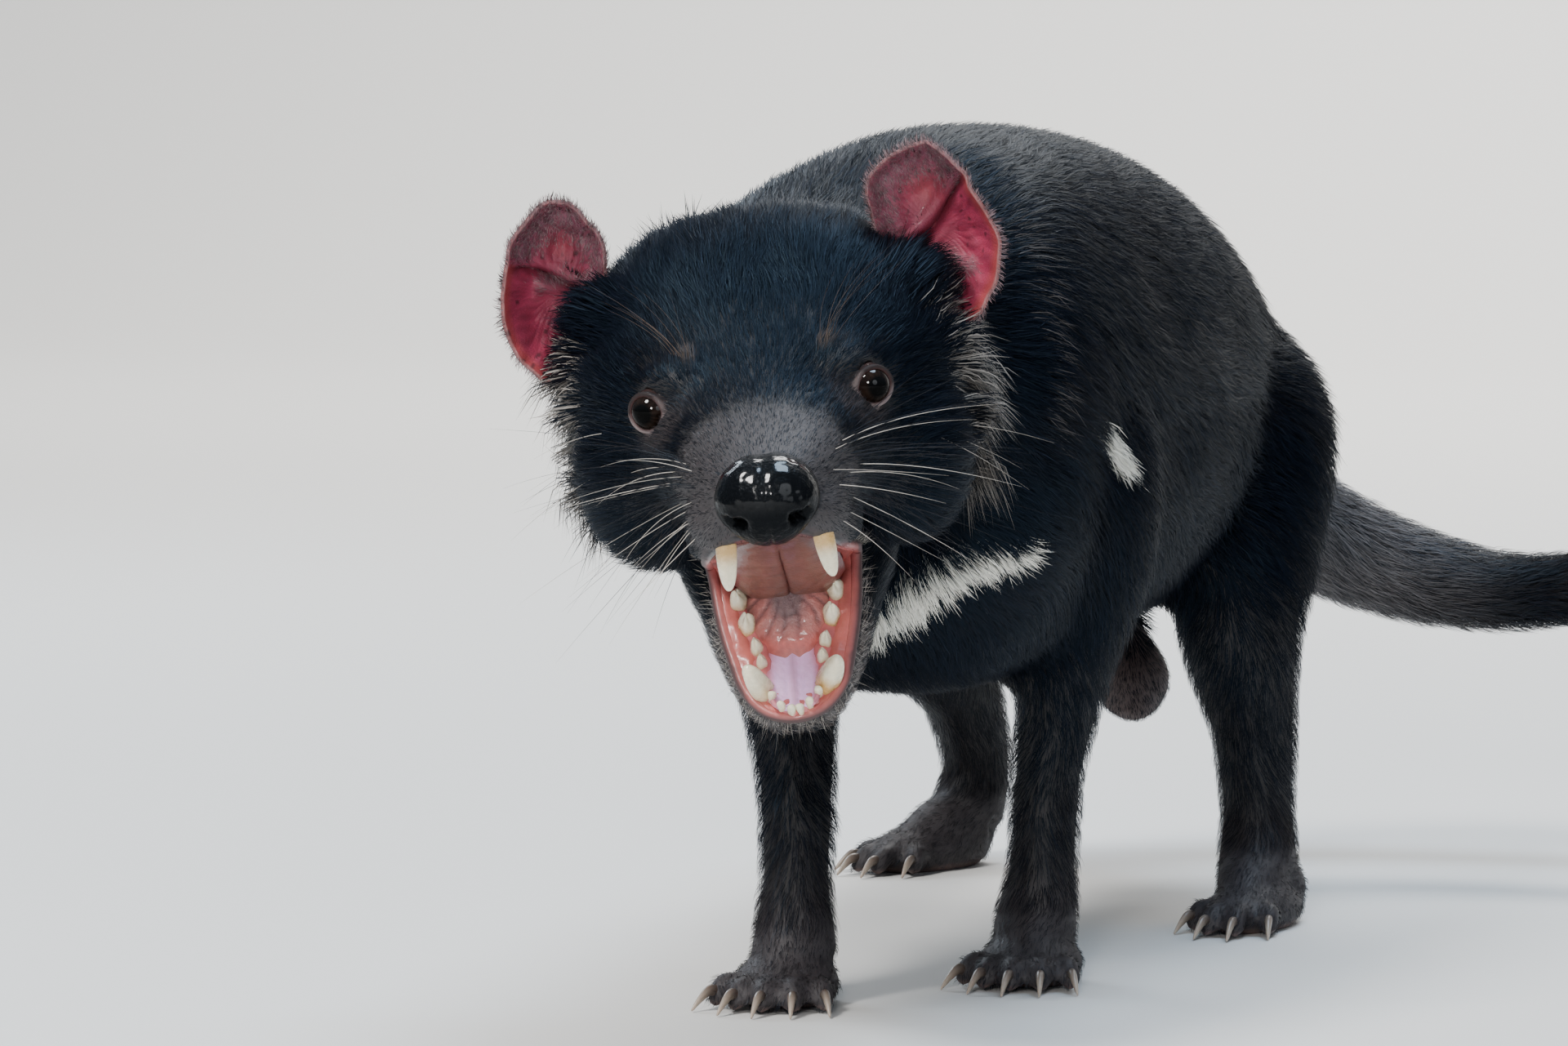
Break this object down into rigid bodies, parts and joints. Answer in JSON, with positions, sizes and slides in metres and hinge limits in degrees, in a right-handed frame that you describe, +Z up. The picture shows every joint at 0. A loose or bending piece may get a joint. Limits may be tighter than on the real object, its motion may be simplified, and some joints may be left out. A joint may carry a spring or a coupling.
{
  "type": "tasmanian devil",
  "caption": "Stocky black marsupial standing on four clawed feet, head turned, jaws wide open to show teeth and tongue, round thin ears, thick tapering tail.",
  "frame": {"origin": "the middle of the model's floor outline, at the level of its four feet", "axes": "+Y from the nose towards the rump along the trunk, +X towards the animal's left, +Z up"},
  "size_m": [0.3542, 0.6482, 0.2905],
  "materials": {
    "coat": "short dense fur",
    "bare_skin": "thinly haired wrinkled skin",
    "nose_pad": "wet and glossy",
    "mouth": "wet",
    "ear_skin": "thin, bare and finely wrinkled",
    "eye": "wet and mirror-like",
    "teeth": "smooth enamel",
    "claws": "smooth horn"
  },
  "bodies": {
    "root": {"head": "coat", "lower_jaw": "coat", "neck": "coat", "torso": "coat", "tail": "coat", "scrotum": "coat", "fore_leg_left": "coat", "fore_leg_right": "coat", "hind_leg_left": "coat", "hind_leg_right": "coat", "fore_foot_left": "bare_skin", "fore_foot_right": "bare_skin", "hind_foot_left": "bare_skin", "hind_foot_right": "bare_skin", "nose": "nose_pad", "tongue": "mouth", "ear_left": "ear_skin", "ear_right": "ear_skin", "eye_left": "eye", "eye_right": "eye"}
  },
  "joints": []
}
